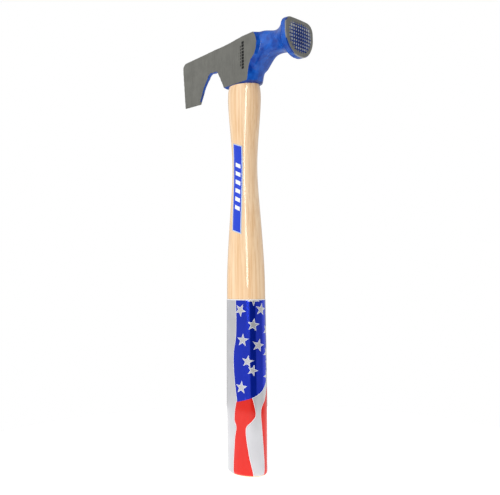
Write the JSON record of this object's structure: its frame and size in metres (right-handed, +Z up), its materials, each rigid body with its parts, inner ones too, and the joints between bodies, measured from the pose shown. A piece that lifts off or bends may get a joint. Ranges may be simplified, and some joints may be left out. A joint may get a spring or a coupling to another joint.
{
  "type": "drywall hammer",
  "caption": "Drywall hammer with a thin hatchet blade, a nail slot, a crowned waffle face and a wedged oval hickory handle with a printed grip wrap.",
  "frame": {"origin": "middle of the handle's flat butt", "axes": "+Z up the handle towards the head, +X out of the striking face, -X out of the cutting edge; the hammer is symmetric about the XZ plane"},
  "size_m": [0.1271, 0.0356, 0.3532],
  "materials": {
    "head_steel": "satin",
    "hickory": "clear lacquer",
    "wedge_wood": "raw",
    "wedge_steel": "raw",
    "label_film": "gloss",
    "wrap_film": "gloss"
  },
  "bodies": {
    "root": {"head": "head_steel", "handle": "hickory", "wood_wedge": "wedge_wood", "steel_wedge_1": "wedge_steel", "steel_wedge_2": "wedge_steel", "handle_label": "label_film", "grip_wrap": "wrap_film"}
  },
  "joints": []
}
